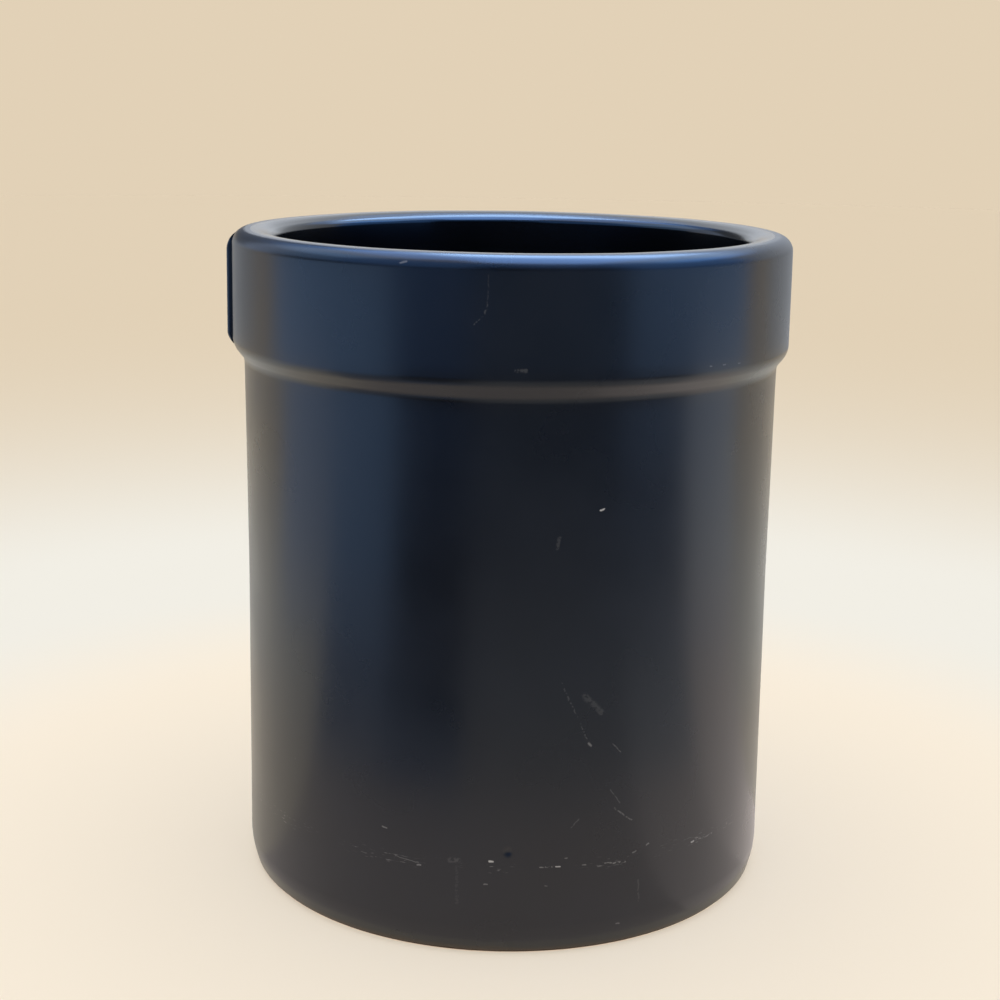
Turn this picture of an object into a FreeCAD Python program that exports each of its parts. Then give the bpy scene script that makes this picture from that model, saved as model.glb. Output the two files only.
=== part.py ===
import FreeCAD, Part
import math
import os
import re

import Sketcher

# Utensil crock: a heavy stoneware jar with a thick collar round its mouth, coated in dark satin glaze
# and left bare on the ring that it stands on. A raised plaque, left blank, stands out from the collar.
# Frame: millimetres, Z up, the origin on the table at the middle of the foot, the plaque facing -Y.

doc = FreeCAD.newDocument("utensil_crock")

# Driving sizes, each with the words that say what it measures.
SIZES = {
    # Whole crock
    "crock_height": (178.0, "table to the top of the lip"),
    "glaze_thickness": (0.45, "fired glaze over the clay"),
    # Collar and lip
    "collar_radius": (75.85, "widest part of the collar, at its lower corner"),
    "collar_draft": (0.25, "how far the collar leans in by the top"),
    "collar_height": (30.4, "top of the lip to the lower corner of the collar"),
    "collar_overhang": (3.0, "how far the collar stands out from the wall under it"),
    "collar_edge_blend": (1.5, "setback of the rounding on the lower corner of the collar"),
    "skirt_height": (3.8, "height of the slope under the collar"),
    "skirt_blend": (1.2, "setback of the rounding where that slope meets the wall"),
    "lip_width": (11.4, "lip from the mouth to the outside"),
    "lip_outer_round": (3.8, "rounding of the outer edge of the lip"),
    "lip_slope_width": (3.8, "easy slope from the flat of the lip in to the mouth, seen from above"),
    "lip_slope_drop": (1.7, "how far that slope drops by the mouth"),
    "lip_slope_blend": (1.6, "setback of the rounding at the top of that slope"),
    "lip_inner_round": (1.4, "setback of the rounding where that slope meets the inner wall"),
    # Wall
    "waist_depth": (0.42, "how far the wall draws in below the collar"),
    "waist_height_share": (0.77, "height of the waist, as a share of the wall"),
    "waist_blend": (25.0, "setback of the long easy curve at the waist"),
    "foot_flare": (0.78, "how far the wall comes out again from the waist to the heel"),
    # Heel and foot
    "heel_height": (6.0, "table to the turn of the heel"),
    "heel_inset": (1.2, "how far the heel tucks in by the glaze line"),
    "heel_blend": (2.4, "setback of the rounding at the turn of the heel"),
    "glaze_line": (1.0, "table to the lower edge of the outer glaze"),
    "foot_bevel": (0.65, "how far the bare clay leans in below the glaze line"),
    "foot_ring_width": (8.0, "flat ring that stands on the table"),
    "foot_edge_round": (0.4, "rounding of both edges of that ring"),
    "recess_depth": (2.5, "table to the glazed underside inside the ring"),
    "recess_round": (1.5, "rounding inside the ring"),
    "recess_bare_margin": (1.2, "bare clay between that rounding and the underside glaze"),
    # Inside
    "floor_thickness": (8.0, "underside to the inner floor, with both glazes"),
    "floor_inset": (0.5, "how far the inner wall leans in by the floor"),
    "floor_round": (8.0, "rounding between the inner floor and the wall"),
    # Raised plaque
    "plaque_width": (58.0, "plaque seen straight on, end to end"),
    "plaque_proud": (1.6, "how far the plaque stands out from the collar"),
    "plaque_seat_gap": (0.3, "thin line between the back of the plaque and the glazed collar"),
    "plaque_top_drop": (0.3, "top of the lip to the top of the plaque"),
    "plaque_top_round": (5.0, "rounding of the plaque's top, which runs over into the lip"),
    "plaque_foot_rise": (1.1, "lower corner of the collar to the lower corner of the plaque"),
    "plaque_bevel": (2.0, "height of the slope along the plaque's lower edge"),
    "plaque_bevel_depth": (1.7, "how far that slope runs in under the plaque"),
    "plaque_bevel_blend": (1.2, "setback of the rounding at the top of that slope"),
    "plaque_end_round": (0.8, "rounding of the plaque's two ends"),
    "field_side_border": (4.5, "raised border at each end of the plaque's blank field"),
    "field_top_border": (6.5, "top of the plaque to the blank field"),
    "field_height": (16.0, "blank field from its lower to its upper edge"),
    "field_depth": (0.5, "how far the blank field is sunk"),
}

sheet = doc.addObject("Spreadsheet::Sheet", "sizes")
for row, (alias, (value, meaning)) in enumerate(SIZES.items(), start=1):
    sheet.set(f"A{row}", str(value))
    sheet.setAlias(f"A{row}", alias)
    sheet.set(f"B{row}", meaning)
doc.recompute()

# Places that follow from the sizes
COLLAR_TOP = "(collar_radius - collar_draft)"
MOUTH = f"({COLLAR_TOP} - lip_width)"
SEAM = f"(({MOUTH} + lip_slope_width + lip_slope_blend + {COLLAR_TOP} - lip_outer_round) / 2)"
LIP_SLOPE = "(lip_slope_drop / lip_slope_width)"
LIP_STRETCH = f"sqrt(1 + {LIP_SLOPE} * {LIP_SLOPE})"
COLLAR_BOTTOM = "(crock_height - collar_height)"
WALL_TOP = "(collar_radius - collar_overhang)"
SKIRT_BOTTOM = f"({COLLAR_BOTTOM} - skirt_height)"
WAIST = f"({WALL_TOP} - waist_depth)"
WAIST_HEIGHT = f"(heel_height + waist_height_share * ({SKIRT_BOTTOM} - heel_height))"
FOOT = f"({WAIST} + foot_flare)"
GLAZE_EDGE = f"({FOOT} - heel_inset)"
RING_OUTER = f"({GLAZE_EDGE} - glaze_thickness - foot_bevel)"
RING_INNER = f"({RING_OUTER} - foot_ring_width)"
FLOOR = f"({MOUTH} - floor_inset)"
FLOOR_HEIGHT = "(recess_depth + floor_thickness)"
RECESS_ROOF = "(recess_depth + glaze_thickness)"
PLAQUE_TOP = "(crock_height - plaque_top_drop)"
PLAQUE_CORNER = f"({COLLAR_BOTTOM} + plaque_foot_rise)"
PLAQUE_ROOT = f"({PLAQUE_CORNER} - plaque_bevel)"
FIELD_TOP = f"({PLAQUE_TOP} - field_top_border)"
FIELD_BOTTOM = f"({FIELD_TOP} - field_height)"


def cell_names(expression):
    """The expression with each size named by its cell in the sheet."""
    return re.sub(r"[a-z_]+", lambda word: f"sizes.{word[0]}" if word[0] in SIZES else word[0], expression)


def number(expression):
    """What the expression comes to now."""
    return float(sheet.evalExpression(expression))


def new_body(label):
    body = doc.addObject("PartDesign::Body", label)
    body.Label = label
    return body


def bind(sketch, constraint, name, expression):
    """Adds a constraint whose value the sheet drives."""
    index = sketch.addConstraint(constraint)
    sketch.renameConstraint(index, name)
    sketch.setExpression(f"Constraints.{name}", cell_names(expression))


def place_corner(sketch, name, radius, height):
    """A construction point held at a radius and a height, either of which may be zero."""
    spot = FreeCAD.Vector(number(radius), number(height), 0)
    point = sketch.addGeometry(Part.Point(spot), True)
    if radius == "0":
        sketch.addConstraint(Sketcher.Constraint("PointOnObject", point, 1, -2))
    else:
        bind(sketch, Sketcher.Constraint("DistanceX", -1, 1, point, 1, spot.x), f"{name}_radius", radius)
    if height == "0":
        sketch.addConstraint(Sketcher.Constraint("PointOnObject", point, 1, -1))
    else:
        bind(sketch, Sketcher.Constraint("DistanceY", -1, 1, point, 1, spot.y), f"{name}_height", height)
    return point, spot


def rounding_arc(before, corner, after, setback):
    """The arc that rounds a corner, and whether it turns left on the way round the outline."""
    back = (before - corner).normalize()
    on = (after - corner).normalize()
    start = corner + back * setback
    end = corner + on * setback
    middle_way = (back + on).normalize()
    half = back.getAngle(on) / 2
    centre = corner + middle_way * (setback / math.cos(half))
    radius = setback * math.tan(half)
    middle = centre - middle_way * radius
    turns_left = back.cross(on).z < 0
    ends = (start, middle, end) if turns_left else (end, middle, start)
    return Part.Arc(*ends), start, end, turns_left


def draw_outline(body, name, corners):
    """A closed outline in the body's upright plane.

    Each corner is (radius, height, rounding), in expressions of the sheet. The rounding is the setback
    of its arc along both sides of the corner, or None where the corner is sharp.
    """
    sketch = body.newObject("Sketcher::SketchObject", name)
    plane = next(p for p in body.Origin.OriginFeatures if p.Role == "XZ_Plane")
    sketch.AttachmentSupport = [(plane, "")]
    sketch.MapMode = "FlatFace"
    count = len(corners)
    points = [place_corner(sketch, f"corner{i}", c[0], c[1]) for i, c in enumerate(corners)]
    spots = [spot for _, spot in points]
    arcs = {}
    for i, (_, _, rounding) in enumerate(corners):
        if rounding:
            arcs[i] = rounding_arc(spots[i - 1], spots[i], spots[(i + 1) % count], number(rounding))
    lines = []
    for i in range(count):
        j = (i + 1) % count
        start = arcs[i][2] if i in arcs else spots[i]
        end = arcs[j][1] if j in arcs else spots[j]
        lines.append(sketch.addGeometry(Part.LineSegment(start, end)))
    for i, (_, _, rounding) in enumerate(corners):
        point = points[i][0]
        line_in, line_out = lines[i - 1], lines[i]
        if i not in arcs:
            sketch.addConstraint(Sketcher.Constraint("Coincident", line_in, 2, point, 1))
            sketch.addConstraint(Sketcher.Constraint("Coincident", line_out, 1, point, 1))
            continue
        curve, _, _, turns_left = arcs[i]
        arc = sketch.addGeometry(curve)
        end_in, end_out = (1, 2) if turns_left else (2, 1)
        sketch.addConstraint(Sketcher.Constraint("Tangent", line_in, 2, arc, end_in))
        sketch.addConstraint(Sketcher.Constraint("Tangent", line_out, 1, arc, end_out))
        sketch.addConstraint(Sketcher.Constraint("PointOnObject", point, 1, line_in))
        sketch.addConstraint(Sketcher.Constraint("PointOnObject", point, 1, line_out))
        setback = Sketcher.Constraint("Distance", point, 1, arc, end_in, number(rounding))
        bind(sketch, setback, f"corner{i}_rounding", rounding)
    return sketch


def turn(body, name, corners, kind="PartDesign::Revolution", angle="360"):
    """Turns an outline about the crock's upright axis, by an angle spread evenly to both sides."""
    sketch = draw_outline(body, f"{name}_outline", corners)
    feature = body.newObject(kind, name)
    feature.Profile = sketch
    feature.ReferenceAxis = (sketch, ["V_Axis"])
    feature.Midplane = True
    feature.setExpression("Angle", cell_names(angle))
    doc.recompute()
    return feature


def edge_names(shape, wanted):
    """The names of the edges that a test picks out."""
    return [f"Edge{i}" for i, edge in enumerate(shape.Edges, start=1) if wanted(edge)]


def fillet(body, name, wanted, radius):
    """Rounds the edges of the body's last feature that a test picks out."""
    base = body.Tip
    feature = body.newObject("PartDesign::Fillet", name)
    feature.Base = (base, edge_names(base.Shape, wanted))
    feature.setExpression("Radius", cell_names(radius))
    doc.recompute()
    return feature


def outside_corners(inset):
    """Corners of the outside from the lip down to the glaze line, moved in by an inset."""
    return [
        (f"{COLLAR_TOP} - {inset}", f"crock_height - {inset}", f"lip_outer_round - {inset}"),
        (f"collar_radius - {inset}", COLLAR_BOTTOM, "collar_edge_blend"),
        (f"{WALL_TOP} - {inset}", SKIRT_BOTTOM, "skirt_blend"),
        (f"{WAIST} - {inset}", WAIST_HEIGHT, "waist_blend"),
        (f"{FOOT} - {inset}", "heel_height", "heel_blend"),
        (f"{GLAZE_EDGE} - {inset}", "glaze_line", None),
    ]


def inside_corners(inset):
    """Corners of the inside from the lip down to the middle of the floor, moved into the clay."""
    slope_top = f"{MOUTH} + lip_slope_width + {inset} * ({LIP_STRETCH} - 1) / {LIP_SLOPE}"
    slope_foot = f"crock_height - lip_slope_drop - {inset} * ({LIP_STRETCH} - {LIP_SLOPE})"
    return [
        (slope_top, f"crock_height - {inset}", "lip_slope_blend"),
        (f"{MOUTH} + {inset}", slope_foot, "lip_inner_round"),
        (f"{FLOOR} + {inset}", f"{FLOOR_HEIGHT} - {inset}", f"floor_round + {inset}"),
        ("0", f"{FLOOR_HEIGHT} - {inset}", None),
    ]


# Insets of the finished surface, of the clay under its glaze, and of the face that the plaque sits on
FINISHED, CLAY, PLAQUE_SEAT = "0", "glaze_thickness", "(0 - plaque_seat_gap)"


def make_stoneware_body():
    """The fired clay: foot ring, floor, wall, collar and lip, under its glazes."""
    underside = [
        ("0", RECESS_ROOF, None),
        (RING_INNER, RECESS_ROOF, "recess_round"),
        (RING_INNER, "0", "foot_edge_round"),
        (RING_OUTER, "0", "foot_edge_round"),
    ]
    body = new_body("stoneware_body")
    turn(body, "clay", underside + outside_corners(CLAY)[::-1] + inside_corners(CLAY))
    return body


def make_outer_glaze():
    """The coat on the outside, from the middle of the lip down to the glaze line above the foot."""
    lip = [(SEAM, "crock_height - glaze_thickness", None), (SEAM, "crock_height", None)]
    body = new_body("outer_glaze")
    turn(body, "outer_coat", lip + outside_corners(FINISHED) + outside_corners(CLAY)[::-1])
    return body


def make_liner_glaze():
    """The coat poured into the inside, from the middle of the lip down over the floor."""
    lip = [(SEAM, "crock_height", None), (SEAM, "crock_height - glaze_thickness", None)]
    body = new_body("liner_glaze")
    turn(body, "liner_coat", lip + inside_corners(CLAY) + inside_corners(FINISHED)[::-1])
    return body


def make_base_glaze():
    """The coat on the sunk underside, inside the bare foot ring."""
    rim = f"{RING_INNER} - recess_round - recess_bare_margin"
    body = new_body("base_glaze")
    turn(body, "base_coat", [
        ("0", "recess_depth", None),
        (rim, "recess_depth", "glaze_thickness / 2"),
        (rim, RECESS_ROOF, None),
        ("0", RECESS_ROOF, None),
    ])
    return body


def plaque_face_radius(height):
    """Radius of the plaque's front at a height, which follows the lean of the collar."""
    return f"collar_radius + plaque_proud - collar_draft * ({height} - {COLLAR_BOTTOM}) / collar_height"


def angle_across(width):
    """Angle round the crock that a straight-on width takes up at the plaque's front."""
    return f"2 * asin(({width}) / 2 / (collar_radius + plaque_proud))"


def on_plaque_end(edge):
    """True for the straight front edge at either end of the plaque."""
    ends = [math.hypot(vertex.Point.x, vertex.Point.y) for vertex in edge.Vertexes]
    return edge.Curve.TypeId == "Part::GeomLine" and min(ends) > number("collar_radius")


def make_raised_plaque():
    """The raised plaque: a stretch of thicker collar, cut to sit on the crock, with a sunk blank field."""
    body = new_body("raised_plaque")
    block = turn(body, "block", [
        (SEAM, PLAQUE_TOP, None),
        (f"{COLLAR_TOP} + plaque_proud", PLAQUE_TOP, "plaque_top_round"),
        ("collar_radius + plaque_proud", PLAQUE_CORNER, "plaque_bevel_blend"),
        ("collar_radius + plaque_proud - plaque_bevel_depth", PLAQUE_ROOT, None),
        (SEAM, PLAQUE_ROOT, None),
    ], angle=angle_across("plaque_width"))
    fillet(body, "ends", on_plaque_end, "plaque_end_round")
    low, high = plaque_face_radius(FIELD_BOTTOM), plaque_face_radius(FIELD_TOP)
    field = turn(body, "field", [
        (f"{low} - field_depth", FIELD_BOTTOM, None),
        (f"{low} + plaque_proud", FIELD_BOTTOM, None),
        (f"{high} + plaque_proud", FIELD_TOP, None),
        (f"{high} - field_depth", FIELD_TOP, None),
    ], "PartDesign::Groove", angle_across("plaque_width - 2 * field_side_border"))
    middle = [("0", "glaze_line", None), ("0", "crock_height", None)]
    seat = turn(body, "seat", middle + outside_corners(PLAQUE_SEAT), "PartDesign::Groove")
    if not block.Shape.Volume > field.Shape.Volume > seat.Shape.Volume:
        raise RuntimeError("the plaque was not cut to its seat and its field")
    return body


bodies = [
    make_stoneware_body(),
    make_outer_glaze(),
    make_liner_glaze(),
    make_base_glaze(),
    make_raised_plaque(),
]

# The plaque is modelled facing +X and is turned to face the front.
bodies[-1].Placement = FreeCAD.Placement(
    FreeCAD.Vector(0, 0, 0), FreeCAD.Rotation(FreeCAD.Vector(0, 0, 1), -90)
)
doc.recompute()

failed = [o.Label for o in doc.Objects if "Invalid" in o.State or "Error" in o.State]
failed += [b.Label for b in bodies if b.Shape.isNull() or not b.Shape.isValid()]
if failed:
    raise RuntimeError(f"not built: {failed}")

os.makedirs("parts", exist_ok=True)
for body in bodies:
    box = body.Shape.optimalBoundingBox()
    sides = [round(side, 2) for side in (box.XLength, box.YLength, box.ZLength)]
    print(body.Label, sides, "solids", len(body.Shape.Solids), "volume", round(body.Shape.Volume, 1))
    body.Shape.exportStep(f"parts/{body.Label}.step")
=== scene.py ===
# %% [markdown]
# # A utensil crock in dark satin glaze
#
# The real crock is a thick stoneware jar. It is fired with a blue-black satin glaze on the outside, a
# liner glaze inside and a thin coat on the sunk underside, and only the ring that it stands on is bare
# clay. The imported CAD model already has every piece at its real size, so this script never scales or
# moves anything: it models each visible coat again with finer edges, and gives each one a material.
#
# Everything is in metres, with the origin on the table under the middle of the foot and +Z up.

import math

import bmesh
import bpy
from mathutils import Matrix, Vector


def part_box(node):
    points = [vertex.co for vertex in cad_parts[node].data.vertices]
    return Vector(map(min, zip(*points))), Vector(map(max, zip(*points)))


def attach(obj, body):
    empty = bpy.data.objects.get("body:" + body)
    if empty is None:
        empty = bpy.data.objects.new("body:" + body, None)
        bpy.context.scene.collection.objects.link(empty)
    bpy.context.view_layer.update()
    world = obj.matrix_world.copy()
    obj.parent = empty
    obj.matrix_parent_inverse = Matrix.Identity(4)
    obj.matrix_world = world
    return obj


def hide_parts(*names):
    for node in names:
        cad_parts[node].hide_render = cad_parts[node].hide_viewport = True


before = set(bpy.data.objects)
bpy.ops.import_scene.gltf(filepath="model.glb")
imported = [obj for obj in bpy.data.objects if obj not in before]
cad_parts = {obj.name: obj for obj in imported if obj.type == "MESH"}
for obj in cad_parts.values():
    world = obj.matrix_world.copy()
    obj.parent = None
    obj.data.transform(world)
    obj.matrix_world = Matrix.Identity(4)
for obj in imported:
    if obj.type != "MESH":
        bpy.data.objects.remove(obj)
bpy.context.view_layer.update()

# %% [markdown]
# ## Sizes
#
# Sizes that the CAD nodes' boxes show are read from them. A box can't show a rounding or a wall's lean,
# so those have a name here, with the same value as in the CAD model.

# %% Sizes of the crock
coat_low, coat_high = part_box("outer_glaze")
liner_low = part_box("liner_glaze")[0]
base_low, base_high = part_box("base_glaze")
plaque_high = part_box("raised_plaque")[1]


def reach(node):
    """Largest distance of a CAD node's points from the crock's axis."""
    return max(math.hypot(v.co.x, v.co.y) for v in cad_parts[node].data.vertices)


COAT = 0.00045
COLLAR_HEIGHT = 0.0304
COLLAR_LEAN = 0.00025
COLLAR_OVERHANG = 0.003
SKIRT_HEIGHT = 0.0038
LIP_WIDTH = 0.0114
TOP = coat_high.z
GLAZE_LINE = coat_low.z
COLLAR_RADIUS = reach("outer_glaze")
COLLAR_FOOT = TOP - COLLAR_HEIGHT
WALL_RADIUS = COLLAR_RADIUS - COLLAR_OVERHANG
SKIRT_FOOT = COLLAR_FOOT - SKIRT_HEIGHT
LIP_TOP_RADIUS = COLLAR_RADIUS - COLLAR_LEAN
MOUTH_RADIUS = LIP_TOP_RADIUS - LIP_WIDTH
SEAM_RADIUS = reach("liner_glaze")
print("height", round(TOP, 4), "collar radius", round(COLLAR_RADIUS, 5))
print("the two coats meet at radius", round(SEAM_RADIUS, 5))

# %% [markdown]
# ## Tools for turned pieces
#
# A pot is turned, so its coats are turned too: one point is extruded from corner to corner to draw half
# of the section, the corners are rounded with a vertex bevel, and the line is spun once round the axis.
# A cylinder with loops slid up and down it would also work, but the roundings would have to be
# modelled all the way round. In a drawn section each rounding is one number.

# %% Selecting and starting
SAME_PLACE = COAT / 100


def pick(piece, mode, test):
    """Selects only the vertices, edges or faces of a piece in edit mode that pass a test."""
    bpy.ops.mesh.select_mode(type=mode)
    bpy.ops.mesh.select_all(action="DESELECT")
    mesh = bmesh.from_edit_mesh(piece.data)
    items = {"VERT": mesh.verts, "EDGE": mesh.edges, "FACE": mesh.faces}[mode]
    chosen = [item for item in items if test(item)]
    for item in chosen:
        item.select_set(True)
    mesh.select_flush_mode()
    bmesh.update_edit_mesh(piece.data)
    return len(chosen)


def start_piece(name):
    """Adds a small plane, melts it to one point at the origin and stays in edit mode."""
    bpy.ops.object.select_all(action="DESELECT")
    bpy.ops.mesh.primitive_plane_add(size=COAT)
    piece = bpy.context.object
    piece.name = name
    piece.data.name = name
    bpy.ops.object.mode_set(mode="EDIT")
    bpy.ops.mesh.select_mode(type="VERT")
    bpy.ops.mesh.merge(type="CENTER")
    return piece


# %% Drawing a section
def draw_section(piece, corners, closed):
    """Extrudes the point from corner to corner. A corner is (radius, height, rounding, segments)."""
    bpy.ops.transform.translate(value=(corners[0][0], 0, corners[0][1]))
    for here, there in zip(corners, corners[1:]):
        step = (there[0] - here[0], 0, there[1] - here[1])
        bpy.ops.mesh.extrude_vertices_move(TRANSFORM_OT_translate={"value": step})
    if closed:
        ends = [Vector((c[0], 0, c[1])) for c in (corners[0], corners[-1])]
        pick(piece, "VERT", lambda v: min((v.co - end).length for end in ends) < SAME_PLACE)
        bpy.ops.mesh.edge_face_add()


def round_corners(piece, corners):
    """Rounds each corner of the section that asks for it, with a vertex bevel of its setback."""
    for radius, height, rounding, segments in corners:
        if rounding:
            corner = Vector((radius, 0, height))
            pick(piece, "VERT", lambda v: (v.co - corner).length < SAME_PLACE)
            bpy.ops.mesh.bevel(offset=rounding, segments=segments, profile=0.5, affect="VERTICES")


def split_long_edges(piece, longest):
    """Halves long edges until none is longer than this, so that a turned wall has rings to shape."""
    while pick(piece, "EDGE", lambda e: e.calc_length() > longest):
        bpy.ops.mesh.subdivide(number_cuts=1)


# %% Spinning and finishing
DOUBLES_WITHIN = COAT / 500
SMOOTH_BELOW = math.radians(40)


def spin_section(piece, steps, angle=math.tau):
    """Spins the whole section about the crock's axis, anticlockwise as seen from above."""
    bpy.ops.mesh.select_all(action="SELECT")
    bpy.ops.mesh.spin(steps=steps, angle=angle, center=(0, 0, 0), axis=(0, 0, -1))


def finish_mesh(piece):
    """Merges doubles, turns every face outwards, leaves edit mode and smooths all but sharp edges."""
    bpy.ops.mesh.select_all(action="SELECT")
    bpy.ops.mesh.remove_doubles(threshold=DOUBLES_WITHIN)
    bpy.ops.mesh.normals_make_consistent(inside=False)
    bpy.ops.object.mode_set(mode="OBJECT")
    bpy.ops.object.shade_smooth_by_angle(angle=SMOOTH_BELOW)
    sides = [round(1000 * side, 2) for side in piece.dimensions]
    print(piece.name, "faces", len(piece.data.polygons), "sides in mm", sides)


# %% [markdown]
# ## The outer glaze
#
# The outer glaze is a skin a little under half a millimetre thick. It starts on the flat of the lip,
# rolls over the collar, breaks under it into a short slope, follows the faintly waisted wall and ends in
# a fat rolled edge just above the table. It could be a single sheet with no back, but a closed skin
# exports as a solid and shows a real edge at the foot, so both of its faces are drawn.

# %% Section of the outer glaze
LIP_OUTER_ROUND = 0.0038
COLLAR_EDGE_ROUND = 0.0015
SKIRT_ROUND = 0.0012
HEEL_HEIGHT = 0.006
HEEL_ROUND = 0.0024
HEEL_INSET = 0.0012
WAIST_DEPTH = 0.00042
WAIST_SHARE = 0.77
WAIST_ROUND = 0.025
FOOT_FLARE = 0.00078
ROLL = 0.00012
ROLL_HEIGHT = 0.0009
WAIST_RADIUS = WALL_RADIUS - WAIST_DEPTH
WAIST_HEIGHT = HEEL_HEIGHT + WAIST_SHARE * (SKIRT_FOOT - HEEL_HEIGHT)
FOOT_RADIUS = WAIST_RADIUS + FOOT_FLARE
GLAZE_EDGE_RADIUS = FOOT_RADIUS - HEEL_INSET


def outside(inset):
    """Corners of the outside from the lip to the heel, moved in by an inset."""
    return [
        (LIP_TOP_RADIUS - inset, TOP - inset, LIP_OUTER_ROUND - inset, 14),
        (COLLAR_RADIUS - inset, COLLAR_FOOT, COLLAR_EDGE_ROUND, 6),
        (WALL_RADIUS - inset, SKIRT_FOOT, SKIRT_ROUND, 6),
        (WAIST_RADIUS - inset, WAIST_HEIGHT, WAIST_ROUND, 10),
        (FOOT_RADIUS - inset, HEEL_HEIGHT, HEEL_ROUND, 8),
    ]


rolled_edge = [
    (GLAZE_EDGE_RADIUS + ROLL, GLAZE_LINE + ROLL_HEIGHT, ROLL_HEIGHT / 3, 4),
    (GLAZE_EDGE_RADIUS - ROLL, GLAZE_LINE, ROLL, 4),
    (GLAZE_EDGE_RADIUS - COAT, GLAZE_LINE, ROLL, 4),
]
lip_start = [(SEAM_RADIUS, TOP - COAT, 0, 0), (SEAM_RADIUS, TOP, 0, 0)]
coat_corners = lip_start + outside(0) + rolled_edge + outside(COAT)[::-1]
print("outer glaze section has", len(coat_corners), "corners")

# %% Turn the outer glaze
TURN_STEPS = 216
RING_SPACING = 0.005
outer_coat = start_piece("outer_glaze_coat")
draw_section(outer_coat, coat_corners, closed=True)
round_corners(outer_coat, coat_corners)
split_long_edges(outer_coat, RING_SPACING)
spin_section(outer_coat, TURN_STEPS)
finish_mesh(outer_coat)

# %% [markdown]
# ## The liner glaze
#
# The liner is poured in and out again, so it coats the whole inside and meets the outer glaze on the
# flat of the lip, above the easy slope that leads in to the mouth. Its section starts and ends on the
# axis, so it is left open there: the spin closes both ends to a point in the middle of the floor.

# %% Section of the liner glaze
FLOOR_INSET = 0.0005
FLOOR_ROUND = 0.008
LIP_SLOPE_WIDTH = 0.0038
LIP_SLOPE_DROP = 0.0017
LIP_SLOPE_ROUND = 0.0016
LIP_INNER_ROUND = 0.0014
FLOOR_HEIGHT = liner_low.z + COAT
FLOOR_RADIUS = MOUTH_RADIUS - FLOOR_INSET
# The back of the coat follows the slope too, so its two corners there move out and up a little.
COAT_ON_SLOPE = COAT * LIP_SLOPE_DROP / LIP_SLOPE_WIDTH
BACK_OUT = 0.5 * COAT_ON_SLOPE
BACK_UP = 0.8 * COAT_ON_SLOPE
liner_corners = [
    (0, FLOOR_HEIGHT, 0, 0),
    (FLOOR_RADIUS, FLOOR_HEIGHT, FLOOR_ROUND, 10),
    (MOUTH_RADIUS, TOP - LIP_SLOPE_DROP, LIP_INNER_ROUND, 10),
    (MOUTH_RADIUS + LIP_SLOPE_WIDTH, TOP, LIP_SLOPE_ROUND, 8),
    (SEAM_RADIUS, TOP, 0, 0),
    (SEAM_RADIUS, TOP - COAT, 0, 0),
    (MOUTH_RADIUS + LIP_SLOPE_WIDTH + BACK_OUT, TOP - COAT, LIP_SLOPE_ROUND, 6),
    (MOUTH_RADIUS + COAT, TOP - LIP_SLOPE_DROP - COAT + BACK_UP, LIP_INNER_ROUND, 6),
    (FLOOR_RADIUS + COAT, FLOOR_HEIGHT - COAT, FLOOR_ROUND + COAT, 10),
    (0, FLOOR_HEIGHT - COAT, 0, 0),
]
print("liner section has", len(liner_corners), "corners")

# %% Turn the liner glaze
liner_coat = start_piece("liner_glaze_coat")
draw_section(liner_coat, liner_corners, closed=False)
round_corners(liner_coat, liner_corners)
split_long_edges(liner_coat, 2 * RING_SPACING)
spin_section(liner_coat, TURN_STEPS)
finish_mesh(liner_coat)

# %% [markdown]
# ## The base glaze
#
# Under the crock a thin coat covers the sunk underside and stops short of the ring, which was wiped
# clean so that the crock would not stick to the kiln shelf. Its rim is rounded like a drop's edge.

# %% Turn the base glaze
BASE_RADIUS = reach("base_glaze")
base_corners = [
    (0, base_high.z, 0, 0),
    (BASE_RADIUS, base_high.z, 0, 0),
    (BASE_RADIUS, base_low.z, COAT / 2, 6),
    (0, base_low.z, 0, 0),
]
base_coat = start_piece("base_glaze_coat")
draw_section(base_coat, base_corners, closed=False)
round_corners(base_coat, base_corners)
split_long_edges(base_coat, 2 * RING_SPACING)
spin_section(base_coat, TURN_STEPS // 2)
finish_mesh(base_coat)

# %% [markdown]
# ## The raised plaque
#
# On one side a low plaque stands out from the collar. It is a stretch of thicker collar with soft ends,
# a sloped lower edge and a blank field sunk into its front. A flat plate bent round the collar would
# pinch at its corners, so its section is spun too, but only through the plaque's own angle.

# %% Section of the plaque
PLAQUE_WIDTH = 0.058
PLAQUE_SINK = 0.00015
# The tail is the thin upper edge of the plaque, which lies on the rounding of the lip.
TAIL_REACH = 0.003
TAIL_FLAT = 0.0004
TAIL_THICKNESS = 0.0008
TAIL_ROUND = 0.0003
FRONT_TOP_ROUND = 0.005
FRONT_FOOT_RISE = 0.0011
FRONT_FOOT_ROUND = 0.0012
LOWER_EDGE_DROP = 0.002
LOWER_EDGE_SLOPE = 0.0017
ROOT_ROUND = 0.0002
ROOT_INSET = 0.00085
FIELD_BELOW_LIP = 0.0068
FIELD_HEIGHT = 0.016
PLAQUE_PROUD = reach("raised_plaque") - COLLAR_RADIUS
PLAQUE_TOP = plaque_high.z
PLAQUE_FRONT = COLLAR_RADIUS + PLAQUE_PROUD
PLAQUE_CORNER = COLLAR_FOOT + FRONT_FOOT_RISE
PLAQUE_ROOT = PLAQUE_CORNER - LOWER_EDGE_DROP
FIELD_TOP = TOP - FIELD_BELOW_LIP
FIELD_FOOT = FIELD_TOP - FIELD_HEIGHT


def front_radius(height):
    """Radius of the plaque's front, which leans with the collar."""
    return PLAQUE_FRONT - COLLAR_LEAN * (height - COLLAR_FOOT) / (TOP - COLLAR_FOOT)


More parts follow.
